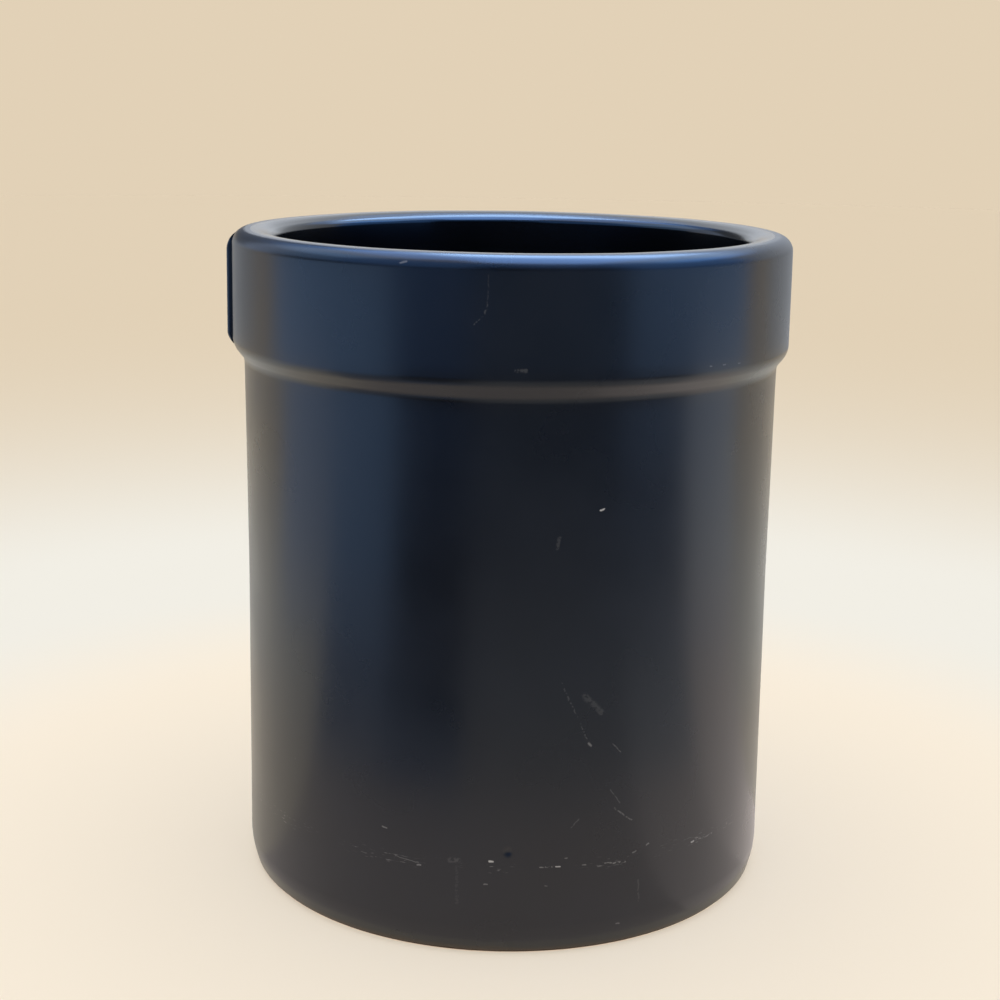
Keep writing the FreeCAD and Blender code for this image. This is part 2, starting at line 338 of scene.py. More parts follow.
plaque_corners = [
    (LIP_TOP_RADIUS - TAIL_REACH, PLAQUE_TOP - TAIL_THICKNESS, 0, 0),
    (LIP_TOP_RADIUS - TAIL_REACH + TAIL_FLAT, PLAQUE_TOP, TAIL_ROUND, 2),
    (front_radius(PLAQUE_TOP), PLAQUE_TOP, FRONT_TOP_ROUND, 12),
    (front_radius(FIELD_TOP), FIELD_TOP, 0, 0),
    (front_radius(FIELD_FOOT), FIELD_FOOT, 0, 0),
    (front_radius(PLAQUE_CORNER), PLAQUE_CORNER, FRONT_FOOT_ROUND, 6),
    (PLAQUE_FRONT - LOWER_EDGE_SLOPE, PLAQUE_ROOT, ROOT_ROUND, 2),
    (COLLAR_RADIUS - ROOT_INSET - PLAQUE_SINK, PLAQUE_ROOT, 0, 0),
    (COLLAR_RADIUS - PLAQUE_SINK, COLLAR_FOOT + COLLAR_EDGE_ROUND, 0, 0),
    (LIP_TOP_RADIUS - PLAQUE_SINK, TOP - LIP_OUTER_ROUND, 0, 0),
]
print("plaque section has", len(plaque_corners), "corners")

# %% Turn the plaque's block
PLAQUE_STEPS = 50
PLAQUE_HALF_ANGLE = math.asin(PLAQUE_WIDTH / 2 / PLAQUE_FRONT)
plaque = start_piece("blank_plaque")
draw_section(plaque, plaque_corners, closed=True)
round_corners(plaque, plaque_corners)
spin_section(plaque, PLAQUE_STEPS, 2 * PLAQUE_HALF_ANGLE)
bpy.ops.mesh.select_all(action="SELECT")
bpy.ops.mesh.fill_holes(sides=0)
bpy.ops.mesh.normals_make_consistent(inside=False)
print("plaque half angle", round(math.degrees(PLAQUE_HALF_ANGLE), 2), "proud", round(PLAQUE_PROUD, 5))

# %% Soften the plaque's ends
END_ROUND = 0.0008
ANGLE_SLACK = 0.001


def angle_round(point):
    """Angle of a point of the plaque from its middle, while its first end lies on +X."""
    return math.atan2(point.y, point.x) - PLAQUE_HALF_ANGLE


def on_front_end(edge):
    """True for an edge along the front of either end."""
    ends = [abs(angle_round(v.co)) > PLAQUE_HALF_ANGLE - ANGLE_SLACK for v in edge.verts]
    proud = [math.hypot(v.co.x, v.co.y) > COLLAR_RADIUS + PLAQUE_PROUD / 4 for v in edge.verts]
    return all(ends) and all(proud)


ends = pick(plaque, "EDGE", on_front_end)
bpy.ops.mesh.bevel(offset=END_ROUND, segments=4, profile=0.5, affect="EDGES")
print("softened", ends, "edges")

# %% Sink the blank field
FIELD_STEPS = 42
FIELD_SLOPE = 0.0006
FIELD_DEPTH = 0.0005
FIELD_HALF_ANGLE = PLAQUE_HALF_ANGLE * FIELD_STEPS / PLAQUE_STEPS
OUTWARD = 0.9


def in_field(face):
    """True for a face of the plaque's front inside the field."""
    middle = face.calc_center_median()
    outward = Vector((middle.x, middle.y, 0)).normalized().dot(face.normal) > OUTWARD
    return outward and FIELD_FOOT < middle.z < FIELD_TOP and abs(angle_round(middle)) < FIELD_HALF_ANGLE


field_faces = pick(plaque, "FACE", in_field)
bpy.ops.mesh.inset(thickness=FIELD_SLOPE, depth=-FIELD_DEPTH)
print("field of", field_faces, "faces sunk")

# %% Soften the field's rim
RIM_ROUND = 0.00022
RIM_SLACK = 0.0001
CRISP = math.radians(15)


def on_field_rim(edge):
    """True for the crisp edges at the top and at the foot of the field's slope."""
    middle = (edge.verts[0].co + edge.verts[1].co) / 2
    in_height = FIELD_FOOT - RIM_SLACK < middle.z < FIELD_TOP + RIM_SLACK
    in_width = abs(angle_round(edge.verts[0].co)) < FIELD_HALF_ANGLE + ANGLE_SLACK
    return in_height and in_width and edge.is_manifold and edge.calc_face_angle() > CRISP


rim_edges = pick(plaque, "EDGE", on_field_rim)
bpy.ops.mesh.bevel(offset=RIM_ROUND, segments=3, profile=0.5, affect="EDGES")
finish_mesh(plaque)
print("softened", rim_edges, "rim edges")

# %% Turn the plaque to the front
plaque.rotation_euler.z = -math.pi / 2 - PLAQUE_HALF_ANGLE
bpy.ops.object.transform_apply(location=False, rotation=True, scale=False)
plaque_points = [v.co for v in plaque.data.vertices]
plaque_middle = sum(plaque_points, Vector()) / len(plaque_points)
print("middle of the plaque in mm", [round(1000 * c, 1) for c in plaque_middle])

# %% [markdown]
# ## Signs of the hand and the kiln
#
# A lip that is sponged true by hand is never quite level, and a wall is never quite round. A Displace
# modifier with a soft cloud texture gives both: up and down on the lip, in and out on the wall. Both
# coats take the same texture in the same coordinates, so they still meet at the seam. Moving the points
# one by one would do the same, but a texture stays smooth at any mesh density.


# %% An uneven surface
def smooth_step(low, high, value):
    """Rises softly from 0 at low to 1 at high."""
    share = min(1.0, max(0.0, (value - low) / (high - low)))
    return share * share * (3 - 2 * share)


def make_uneven(piece, name, depth, feature, direction, weight):
    """Displaces a piece by a cloud texture of this feature size, by half the depth either way."""
    group = piece.vertex_groups.new(name=name)
    for vertex in piece.data.vertices:
        group.add([vertex.index], weight(vertex.co), "REPLACE")
    clouds = bpy.data.textures.new(name, "CLOUDS")
    clouds.noise_scale = feature
    clouds.noise_depth = 1
    change = piece.modifiers.new(name, "DISPLACE")
    change.texture = clouds
    change.texture_coords = "LOCAL"
    change.direction = direction
    change.strength = depth
    change.mid_level = 0.5
    change.vertex_group = group.name
    bpy.context.view_layer.objects.active = piece
    bpy.ops.object.modifier_apply(modifier=change.name)


# %% Uneven lip and wall
UNEVEN_DEPTH = 0.0002
LIP_FEATURE = 0.04
WALL_FEATURE = 0.05
LIP_BEGINS = TOP - 0.012
LIP_FULL = TOP - 0.003
WALL_BEGINS = 0.004
WALL_FULL = 0.02


def on_lip(point):
    """Weight of the lip: nothing on the collar's face, all of it on the flat of the lip."""
    return smooth_step(LIP_BEGINS, LIP_FULL, point.z)


def on_wall(point):
    """Weight of the wall: nothing at the foot, where the crock sits true, and nothing on the lip."""
    return smooth_step(WALL_BEGINS, WALL_FULL, point.z) * (1 - on_lip(point))


for coat in (outer_coat, liner_coat):
    make_uneven(coat, coat.name + "_lip", UNEVEN_DEPTH, LIP_FEATURE, "Z", on_lip)
make_uneven(outer_coat, "wall", UNEVEN_DEPTH, WALL_FEATURE, "NORMAL", on_wall)
top_now = max(v.co.z for v in outer_coat.data.vertices)
print("lip now reaches", round(1000 * top_now, 2), "mm")

# %% [markdown]
# ## A pinhole in the glaze
#
# One bubble burst in the kiln and left a dark pit near the foot. A bump map could shade it, but it would
# stay flat at its edge, so a few faces are subdivided there and the middle point is pushed in with
# proportional editing, as one would pull at a point by hand.

# %% Sink the pinhole
PHOTO_SIDE = math.radians(106)
PINHOLE = (math.radians(1), 0.0287)
PINHOLE_RADIUS = 0.0015
PINHOLE_DEPTH = 0.9 * COAT
PATCH_RADIUS = 2.5 * PINHOLE_RADIUS
PATCH_CUTS = 9


def on_wall_at(turn, height, radius):
    """Point on the crock, a turn to the right of the side that the camera sees, at a height."""
    around = PHOTO_SIDE + turn
    return Vector((radius * math.sin(around), -radius * math.cos(around), height))


pit = on_wall_at(*PINHOLE, FOOT_RADIUS)
inwards = -Vector((pit.x, pit.y, 0)).normalized()
bpy.ops.object.select_all(action="DESELECT")
outer_coat.select_set(True)
bpy.context.view_layer.objects.active = outer_coat
bpy.ops.object.mode_set(mode="EDIT")
pit_faces = pick(outer_coat, "FACE", lambda f: (f.calc_center_median() - pit).length < PATCH_RADIUS)
bpy.ops.mesh.subdivide(number_cuts=PATCH_CUTS)
mesh = bmesh.from_edit_mesh(outer_coat.data)
middle = min(mesh.verts, key=lambda v: (v.co - pit).length).co.copy()
pick(outer_coat, "VERT", lambda v: (v.co - middle).length < SAME_PLACE)
bpy.ops.transform.translate(
    value=inwards * PINHOLE_DEPTH,
    use_proportional_edit=True,
    proportional_edit_falloff="SMOOTH",
    proportional_size=PINHOLE_RADIUS,
)
bpy.ops.object.mode_set(mode="OBJECT")
print("pinhole sunk in", pit_faces, "faces")

# %% [markdown]
# ## Set the pieces on the crock
#
# Each new coat stands for the CAD node under it and rides on the crock's one body. The clay keeps its
# CAD mesh, because only its foot shows and that is already right.

# %% Ride and replace
new_pieces = [
    (outer_coat, "outer_glaze", "satin_outer_glaze"),
    (liner_coat, "liner_glaze", "liner_glaze"),
    (base_coat, "base_glaze", "base_glaze"),
    (plaque, "raised_plaque", "satin_outer_glaze"),
]
for piece, node, slot in new_pieces:
    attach(piece, "root")
    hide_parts(node)
    print(piece.name, "stands for", node)

# %% [markdown]
# ## Tools for materials
#
# All colour and wear is worked out by nodes from Object coordinates, so nothing depends on an image or
# on the camera. These helpers add a node, set its options and feed its inputs in one line.


# %% Node helpers
def put(tree, kind, feeds, **options):
    """Adds a node, sets its options and feeds its inputs with sockets or plain values."""
    made = tree.nodes.new(kind)
    for name, value in options.items():
        setattr(made, name, value)
    for key, feed in feeds.items():
        if isinstance(feed, bpy.types.NodeSocket):
            tree.links.new(feed, made.inputs[key])
        else:
            made.inputs[key].default_value = feed
    return made


def reckon(tree, operation, *feeds):
    """A Math node's result."""
    return put(tree, "ShaderNodeMath", dict(enumerate(feeds)), operation=operation).outputs[0]


def vectors(tree, operation, *feeds):
    """A Vector Math node with its result first and its value second."""
    return put(tree, "ShaderNodeVectorMath", dict(enumerate(feeds)), operation=operation).outputs


def ramp(tree, value, low, high, from_value=0.0, to_value=1.0):
    """A soft rise or fall between two ends."""
    feeds = {"Value": value, "From Min": low, "From Max": high}
    feeds.update({"To Min": from_value, "To Max": to_value})
    return put(tree, "ShaderNodeMapRange", feeds, interpolation_type="SMOOTHSTEP").outputs[0]


def noise(tree, spot, scale, detail=2.0):
    """A Noise texture with its value first and its colour second."""
    feeds = {"Vector": spot, "Scale": scale, "Detail": detail}
    return put(tree, "ShaderNodeTexNoise", feeds).outputs


def mix_colours(tree, mask, first, second):
    """A mix of two colours by a mask."""
    return put(tree, "ShaderNodeMix", {0: mask, 6: first, 7: second}, data_type="RGBA").outputs[2]


def new_group(name, inputs, outputs):
    """An empty node group with these named sockets, and its two end nodes."""
    group = bpy.data.node_groups.new(name, "ShaderNodeTree")
    for title, kind in inputs:
        group.interface.new_socket(title, in_out="INPUT", socket_type=kind)
    for title, kind in outputs:
        group.interface.new_socket(title, in_out="OUTPUT", socket_type=kind)
    return group, group.nodes.new("NodeGroupInput").outputs, group.nodes.new("NodeGroupOutput").inputs


VALUE, VECTOR = "NodeSocketFloat", "NodeSocketVector"

# %% [markdown]
# ## Glaze skin
#
# A satin glaze is never one flat tone: it pools and thins in soft clouds, and under a lens its skin is
# finely pebbled, which is what makes it satin. One group gives a cloudy tone and a fine grain. The three
# glazes and the clay use it, each at its own scale.

# %% Group: glaze skin
skin_group, given, result = new_group(
    "glaze_skin",
    [("Cloud Scale", VALUE), ("Grain Scale", VALUE)],
    [("Tone", VALUE), ("Grain", VALUE)],
)
spot = put(skin_group, "ShaderNodeTexCoord", {}).outputs["Object"]
clouds = noise(skin_group, spot, given["Cloud Scale"], detail=5.0)[0]
grain = noise(skin_group, spot, given["Grain Scale"], detail=3.0)[0]
skin_group.links.new(ramp(skin_group, clouds, low=0.3, high=0.7), result["Tone"])
skin_group.links.new(grain, result["Grain"])
print("glaze skin group has", len(skin_group.nodes), "nodes")

# %% [markdown]
# ## Specks
#
# Dust that fell on the wet glaze, and tiny knocks since, show as pale points. A Voronoi texture
# scatters one point to a cell, and random numbers of each cell decide whether it shows, how large it is
# and how strong.

# %% Group: specks
speck_group, given, result = new_group(
    "specks",
    [("Scale", VALUE), ("Share", VALUE), ("Size", VALUE)],
    [("Mask", VALUE)],
)
spot = put(speck_group, "ShaderNodeTexCoord", {}).outputs["Object"]
cells = put(speck_group, "ShaderNodeTexVoronoi", {"Vector": spot, "Scale": given["Scale"]})
chance = put(speck_group, "ShaderNodeSeparateColor", {0: cells.outputs["Color"]}).outputs
shows = reckon(speck_group, "LESS_THAN", chance[0], given["Share"])
size = reckon(speck_group, "MULTIPLY", given["Size"], chance[1])
point = ramp(speck_group, cells.outputs["Distance"], 0.0, size, 1.0, 0.0)
faint = reckon(speck_group, "MULTIPLY", point, chance[2])
speck_group.links.new(reckon(speck_group, "MULTIPLY", faint, shows), result["Mask"])
print("speck group has", len(speck_group.nodes), "nodes")

# %% [markdown]
# ## The wall laid flat
#
# A scuff is easy to place on a flat sheet and hard to place on a round wall. This group unrolls the
# wall: it gives the distance round from the side that the camera sees, and the height above the table.

# %% Group: unrolled wall
wall_group, given, result = new_group("unrolled_wall", [], [("Wall", VECTOR)])
spot = put(wall_group, "ShaderNodeTexCoord", {}).outputs["Object"]
facing = put(
    wall_group,
    "ShaderNodeVectorRotate",
    {"Vector": spot, "Angle": math.pi / 2 - PHOTO_SIDE},
    rotation_type="Z_AXIS",
).outputs[0]
parts = put(wall_group, "ShaderNodeSeparateXYZ", {0: facing}).outputs
turn = reckon(wall_group, "ARCTAN2", parts[1], parts[0])
around = reckon(wall_group, "MULTIPLY", turn, WALL_RADIUS)
flat = put(wall_group, "ShaderNodeCombineXYZ", {0: around, 1: parts[2]}).outputs[0]
wall_group.links.new(flat, result["Wall"])
print("unrolled wall group has", len(wall_group.nodes), "nodes")

# %% [markdown]
# ## Scuffs
#
# Each scuff is a line between two points of the unrolled wall. The group measures how far a point of
# the surface lies from that line, and a shared grit breaks the line up as a real scrape is broken up.

# %% Group: scuff
SCUFF_CORE = 0.3
TORN_EDGE = 0.12
places = [("Wall", VECTOR), ("From", VECTOR), ("To", VECTOR)]
amounts = [("Grit", VALUE), ("Width", VALUE), ("Broken", VALUE)]
scuff_group, given, result = new_group("scuff", places + amounts, [("Mask", VALUE)])
along = vectors(scuff_group, "SUBTRACT", given["To"], given["From"])[0]
offset = vectors(scuff_group, "SUBTRACT", given["Wall"], given["From"])[0]
reached = vectors(scuff_group, "DOT_PRODUCT", offset, along)[1]
length = vectors(scuff_group, "DOT_PRODUCT", along, along)[1]
share = put(
    scuff_group, "ShaderNodeMath", {0: reached, 1: length}, operation="DIVIDE", use_clamp=True
).outputs[0]
nearest = put(
    scuff_group, "ShaderNodeVectorMath", {0: along, "Scale": share}, operation="SCALE"
).outputs[0]
gap = vectors(scuff_group, "DISTANCE", offset, nearest)[1]
core = reckon(scuff_group, "MULTIPLY", given["Width"], SCUFF_CORE)
line = ramp(scuff_group, gap, core, given["Width"], 1.0, 0.0)
edge = reckon(scuff_group, "ADD", given["Broken"], TORN_EDGE)
torn = ramp(scuff_group, given["Grit"], given["Broken"], edge)
scuff_group.links.new(reckon(scuff_group, "MULTIPLY", line, torn), result["Mask"])
print("scuff group has", len(scuff_group.nodes), "nodes")

# %% [markdown]
# ## The rubbed ring
#
# About 24 mm above the table the crock has been rubbed all the way round, where it stood in something.
# Short level dashes come from a noise that is squeezed in height, kept to a band and thinned out in
# clusters.

# %% Group: rubbed ring
DASHES_PER_METRE = (420, 2300, 1)
CLUSTERS_PER_METRE = 75.0
ring_group, given, result = new_group(
    "rubbed_ring",
    [("Wall", VECTOR), ("Height", VALUE), ("Spread", VALUE)],
    [("Mask", VALUE)],
)
parts = put(ring_group, "ShaderNodeSeparateXYZ", {0: given["Wall"]}).outputs
off = reckon(ring_group, "ABSOLUTE", reckon(ring_group, "SUBTRACT", parts[1], given["Height"]))
band = ramp(ring_group, off, 0.0, given["Spread"], 1.0, 0.0)
squeezed = put(ring_group, "ShaderNodeMapping", {"Vector": given["Wall"], "Scale": DASHES_PER_METRE})
dashes = ramp(ring_group, noise(ring_group, squeezed.outputs[0], 1.0)[0], low=0.6, high=0.72)
clusters = ramp(ring_group, noise(ring_group, given["Wall"], CLUSTERS_PER_METRE)[0], low=0.42, high=0.62)
kept = reckon(ring_group, "MULTIPLY", dashes, clusters)
ring_group.links.new(reckon(ring_group, "MULTIPLY", kept, band), result["Mask"])
print("rubbed ring group has", len(ring_group.nodes), "nodes")

# %% [markdown]
# ## Satin outer glaze
#
# The outer glaze is blue-black, with a soft sheen and no mirror. It thins to brown at its lower edge,
# where the clay shows through. Pale scuffs and specks lie on top and are rougher than the glaze. One
# Principled shader carries it all, and only what changes over the surface reaches it through nodes.


# %% A glaze's base
def start_material(name, roughness):
    """A material with one Principled shader, ready for its nodes."""
    material = bpy.data.materials.new(name)
    material.use_nodes = True
    tree = material.node_tree
    shader = tree.nodes["Principled BSDF"]
    shader.inputs["Roughness"].default_value = roughness
    return material, tree, shader


def add_skin(tree, cloud_scale, grain_scale):
    """The glaze skin group's tone and grain."""
    skin = put(tree, "ShaderNodeGroup", {}, node_tree=skin_group)
    skin.inputs["Cloud Scale"].default_value = cloud_scale
    skin.inputs["Grain Scale"].default_value = grain_scale
    return skin.outputs["Tone"], skin.outputs["Grain"]


def add_specks(tree, scale, share, size):
    """The speck group's mask."""
    specks = put(tree, "ShaderNodeGroup", {}, node_tree=speck_group)
    for name, value in (("Scale", scale), ("Share", share), ("Size", size)):
        specks.inputs[name].default_value = value
    return specks.outputs["Mask"]


def add_grain(tree, shader, grain, strength, depth):
    """Fine relief from the skin's grain."""
    bump = put(tree, "ShaderNodeBump", {"Height": grain, "Strength": strength, "Distance": depth})
    tree.links.new(bump.outputs[0], shader.inputs["Normal"])


# %% Scuffs that the photograph shows
# Each line is (from turn, from height, to turn, to height, width, strength, broken), with turns in
# degrees to the right of the side that the camera sees, and heights and widths in millimetres.
SCUFFS = [
    (-2.6, 25.9, -1.8, 25.9, 0.35, 0.85, 0.0),
    (7.5, 24.4, 11.5, 24.3, 0.21, 0.27, 0.45),
    (10.8, 24.3, 11.6, 24.3, 0.28, 0.68, 0.0),
    (12.4, 26.5, 12.9, 26.5, 0.24, 0.23, 0.0),
    (16.0, 24.0, 16.7, 24.0, 0.24, 0.23, 0.0),
    (21.0, 23.7, 25.5, 23.3, 0.24, 0.27, 0.4),
    (27.0, 25.3, 27.9, 25.5, 0.28, 0.18, 0.0),
    (30.3, 26.7, 31.0, 26.9, 0.28, 0.23, 0.0),
    (42.6, 23.6, 43.2, 23.6, 0.32, 0.59, 0.0),
    (44.0, 23.5, 49.5, 23.5, 0.28, 0.16, 0.42),
    (-22.0, 24.6, -17.0, 24.0, 0.17, 0.16, 0.3),
    (-17.2, 23.4, -16.5, 23.4, 0.28, 0.27, 0.0),
    (-24.8, 32.0, -24.0, 31.8, 0.28, 0.25, 0.0),
    (-10.5, 25.6, -8.8, 25.8, 1.02, 0.07, 0.4),
    (-3.6, 19.6, -3.0, 19.6, 0.28, 0.23, 0.0),
    (8.5, 19.1, 8.9, 19.1, 0.21, 0.16, 0.0),
    (23.9, 6.4, 24.4, 6.4, 0.32, 0.18, 0.0),
    (11.0, 73.0, 13.0, 67.4, 0.28, 0.1, 0.47),
    (13.0, 67.4, 17.0, 56.3, 0.21, 0.1, 0.48),
    (15.8, 69.2, 19.2, 64.6, 1.1, 0.06, 0.38),
    (16.6, 56.6, 17.3, 56.0, 0.28, 0.23, 0.0),
    (22.0, 55.8, 23.6, 53.3, 0.21, 0.14, 0.36),
    (21.8, 43.5, 23.9, 39.6, 0.21, 0.11, 0.35),
    (22.7, 38.5, 26.7, 34.4, 0.24, 0.16, 0.38),
    (15.2, 36.7, 13.6, 34.7, 0.21, 0.11, 0.35),
    (18.1, 116.2, 18.6, 116.6, 0.32, 0.77, 0.0),
    (9.9, 110.0, 9.5, 107.5, 0.59, 0.07, 0.38),
    (-4.0, 173.5, -4.2, 167.0, 0.17, 0.06, 0.46),
    (-4.2, 167.0, -4.7, 164.2, 0.21, 0.11, 0.42),
    (-4.7, 164.2, -6.6, 161.7, 0.21, 0.12, 0.46),
    (-20.2, 175.4, -19.2, 175.8, 0.35, 0.23, 0.3),
    (1.0, 151.2, 3.0, 151.2, 0.51, 0.09, 0.42),
    (40.0, 150.3, 40.4, 150.3, 0.24, 0.18, 0.0),
    (43.6, 150.1, 44.1, 150.1, 0.24, 0.16, 0.0),
    (48.2, 150.0, 48.7, 150.0, 0.24, 0.14, 0.0),
    (-9.1, 24.0, -9.0, 14.0, 0.51, 0.03, 0.42),
    (28.6, 17.4, 28.8, 11.5, 0.35, 0.05, 0.36),
]
print("scuffs placed:", len(SCUFFS))

# %% Scuffs and ring in one mask
MM = 0.001
ROUND_PER_DEGREE = WALL_RADIUS * math.radians(1)
SCUFF_WOBBLE = 0.0009
NOISE_MIDDLE = (0.5, 0.5, 0.5)
WOBBLES_PER_METRE = 520.0
GRIT_PER_METRE = 1300.0
RING_HEIGHT = 0.0242
RING_SPREAD = 0.0024
RING_STRENGTH = 0.32


def add_scuffs(tree):
    """All the scuffs and the rubbed ring in one mask, and the wall that they lie on."""
    wall = put(tree, "ShaderNodeGroup", {}, node_tree=wall_group).outputs["Wall"]
    shake = noise(tree, wall, WOBBLES_PER_METRE, detail=1.0)["Color"]
    shake = vectors(tree, "SUBTRACT", shake, NOISE_MIDDLE)[0]
    shaken = vectors(tree, "MULTIPLY_ADD", shake, (SCUFF_WOBBLE, SCUFF_WOBBLE, 0), wall)[0]
    grit = noise(tree, wall, GRIT_PER_METRE)[0]
    ring = put(tree, "ShaderNodeGroup", {}, node_tree=ring_group)
    tree.links.new(wall, ring.inputs["Wall"])
    ring.inputs["Height"].default_value = RING_HEIGHT
    ring.inputs["Spread"].default_value = RING_SPREAD
    mask = reckon(tree, "MULTIPLY", ring.outputs["Mask"], RING_STRENGTH)
    for from_turn, from_height, to_turn, to_height, width, strength, broken in SCUFFS:
        mark = put(tree, "ShaderNodeGroup", {}, node_tree=scuff_group)
        tree.links.new(shaken, mark.inputs["Wall"])
        tree.links.new(grit, mark.inputs["Grit"])
        mark.inputs["From"].default_value = (from_turn * ROUND_PER_DEGREE, from_height * MM, 0)
        mark.inputs["To"].default_value = (to_turn * ROUND_PER_DEGREE, to_height * MM, 0)
        mark.inputs["Width"].default_value = width * MM
        mark.inputs["Broken"].default_value = broken
        mask = reckon(tree, "MAXIMUM", mask, reckon(tree, "MULTIPLY", mark.outputs[0], strength))
    return wall, mask


# %% Material: satin outer glaze
GLAZE_DARK = (0.0062, 0.0076, 0.0122, 1)
GLAZE_LIGHT = (0.0088, 0.0106, 0.0162, 1)
THIN_GLAZE = (0.032, 0.019, 0.01, 1)
SCUFF_PALE = (0.62, 0.62, 0.64, 1)
OUTER_ROUGHNESS = 0.29
CLOUDY_ROUGHNESS = 0.05
WORN_ROUGHNESS = 0.2
OUTER_SPECKS = 0.35
RAGGED = 0.0006
THIN_FROM = GLAZE_LINE + 0.0016
THINNEST = GLAZE_LINE + 0.0006
GLAZE_IOR = 1.6

outer_glaze, tree, shader = start_material("blue_black_satin", OUTER_ROUGHNESS)
shader.inputs["IOR"].default_value = GLAZE_IOR
tone, grain = add_skin(tree, cloud_scale=32.0, grain_scale=1500.0)
wall, scuffs = add_scuffs(tree)
specks = add_specks(tree, scale=230.0, share=0.05, size=0.09)
wear = reckon(tree, "MAXIMUM", scuffs, reckon(tree, "MULTIPLY", specks, OUTER_SPECKS))
height = put(tree, "ShaderNodeSeparateXYZ", {0: wall}).outputs[1]
ragged = reckon(tree, "MULTIPLY_ADD", tone, RAGGED, height)
thin = ramp(tree, ragged, THINNEST, THIN_FROM, 1.0, 0.0)
colour = mix_colours(tree, tone, GLAZE_DARK, GLAZE_LIGHT)
colour = mix_colours(tree, thin, colour, THIN_GLAZE)
colour = mix_colours(tree, wear, colour, SCUFF_PALE)
tree.links.new(colour, shader.inputs["Base Color"])
satin = reckon(tree, "MULTIPLY_ADD", tone, CLOUDY_ROUGHNESS, OUTER_ROUGHNESS - CLOUDY_ROUGHNESS / 2)
tree.links.new(reckon(tree, "MULTIPLY_ADD", wear, WORN_ROUGHNESS, satin), shader.inputs["Roughness"])
add_grain(tree, shader, grain, strength=0.25, depth=0.00002)
print("outer glaze has", len(tree.nodes), "nodes")

# %% [markdown]
# ## Liner, base and clay
#
# The liner and the base glaze are made from the same skin with their own tones: the liner is nearly
# black, the base coat is thinner and drier. Both get their colour from one function. The bare clay of
# the foot is a warm buff with fine dark iron grains, and a darker brown in the narrow strip between
# the glaze line and the table.

# %% Material: liner glaze
LINER_TONES = [(0.003, 0.0034, 0.0046, 1), (0.0045, 0.005, 0.0066, 1)]
LINER_SMOOTH, LINER_ROUGH = 0.17, 0.22
LINER_SPECKS = 0.2


def glaze_colour(tree, tone, tones, specks, strength):
    """Two tones in clouds, with pale specks of this strength on top."""
    colour = mix_colours(tree, tone, *tones)
    return mix_colours(tree, reckon(tree, "MULTIPLY", specks, strength), colour, SCUFF_PALE)


liner_glaze, tree, shader = start_material("black_liner", LINER_SMOOTH)
shader.inputs["IOR"].default_value = GLAZE_IOR
tone, grain = add_skin(tree, cloud_scale=26.0, grain_scale=1200.0)
specks = add_specks(tree, scale=160.0, share=0.04, size=0.06)
colour = glaze_colour(tree, tone, LINER_TONES, specks, LINER_SPECKS)
tree.links.new(colour, shader.inputs["Base Color"])
sheen = reckon(tree, "MULTIPLY_ADD", tone, LINER_ROUGH - LINER_SMOOTH, LINER_SMOOTH)
tree.links.new(sheen, shader.inputs["Roughness"])
add_grain(tree, shader, grain, strength=0.25, depth=0.00002)
print("liner glaze has", len(tree.nodes), "nodes")

# %% Material: base glaze
BASE_TONES = [(0.0065, 0.0074, 0.0102, 1), (0.0105, 0.0115, 0.015, 1)]
BASE_SMOOTH, BASE_ROUGH = 0.47, 0.57
BASE_SPECKS = 0.3
base_glaze, tree, shader = start_material("thin_base_coat", BASE_SMOOTH)
tone, grain = add_skin(tree, cloud_scale=40.0, grain_scale=900.0)
specks = add_specks(tree, scale=200.0, share=0.08, size=0.1)
colour = glaze_colour(tree, tone, BASE_TONES, specks, BASE_SPECKS)
tree.links.new(colour, shader.inputs["Base Color"])
sheen = reckon(tree, "MULTIPLY_ADD", tone, BASE_ROUGH - BASE_SMOOTH, BASE_SMOOTH)
tree.links.new(sheen, shader.inputs["Roughness"])
add_grain(tree, shader, grain, strength=0.4, depth=0.00003)
print("base glaze has", len(tree.nodes), "nodes")

# %% Material: bare stoneware
CLAY_DARK = (0.33, 0.245, 0.175, 1)
CLAY_LIGHT = (0.46, 0.36, 0.275, 1)
IRON_GRAIN = (0.09, 0.055, 0.035, 1)
# The clay turns a darker brown above the lowest half millimetre of the foot.
DARK_FOOT_BROWN = (0.05, 0.031, 0.017, 1)
DARKER_FROM, DARKEST_FROM = 0.00008, 0.0005
CLAY_SMOOTH, CLAY_ROUGH = 0.72, 0.92
bare_clay, tree, shader = start_material("sanded_clay", CLAY_ROUGH)
tone, grain = add_skin(tree, cloud_scale=60.0, grain_scale=2200.0)
colour = mix_colours(tree, tone, CLAY_DARK, CLAY_LIGHT)
iron = add_specks(tree, scale=900.0, share=0.22, size=0.32)
colour = mix_colours(tree, iron, colour, IRON_GRAIN)
wall = put(tree, "ShaderNodeGroup", {}, node_tree=wall_group).outputs["Wall"]
height = put(tree, "ShaderNodeSeparateXYZ", {0: wall}).outputs[1]
colour = mix_colours(tree, ramp(tree, height, DARKER_FROM, DARKEST_FROM), colour, DARK_FOOT_BROWN)
tree.links.new(colour, shader.inputs["Base Color"])
sanded = reckon(tree, "MULTIPLY_ADD", grain, CLAY_ROUGH - CLAY_SMOOTH, CLAY_SMOOTH)
tree.links.new(sanded, shader.inputs["Roughness"])
add_grain(tree, shader, grain, strength=0.6, depth=0.00008)
print("bare clay has", len(tree.nodes), "nodes")

# %% Give the pieces their materials
for piece, material in (
    (outer_coat, outer_glaze),
    (plaque, outer_glaze),
    (liner_coat, liner_glaze),
    (base_coat, base_glaze),
):
    piece.data.materials.clear()
    piece.data.materials.append(material)
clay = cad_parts["stoneware_body"]
for place in clay.material_slots:
    place.material = bare_clay
print("clay slots", len(clay.material_slots))

# %% [markdown]
# ## Camera
#
# The camera stands a little above the lip and looks down at the crock, as in the photograph. It is placed
# by the side that it faces, its distance and height, its tilt and a very small roll.

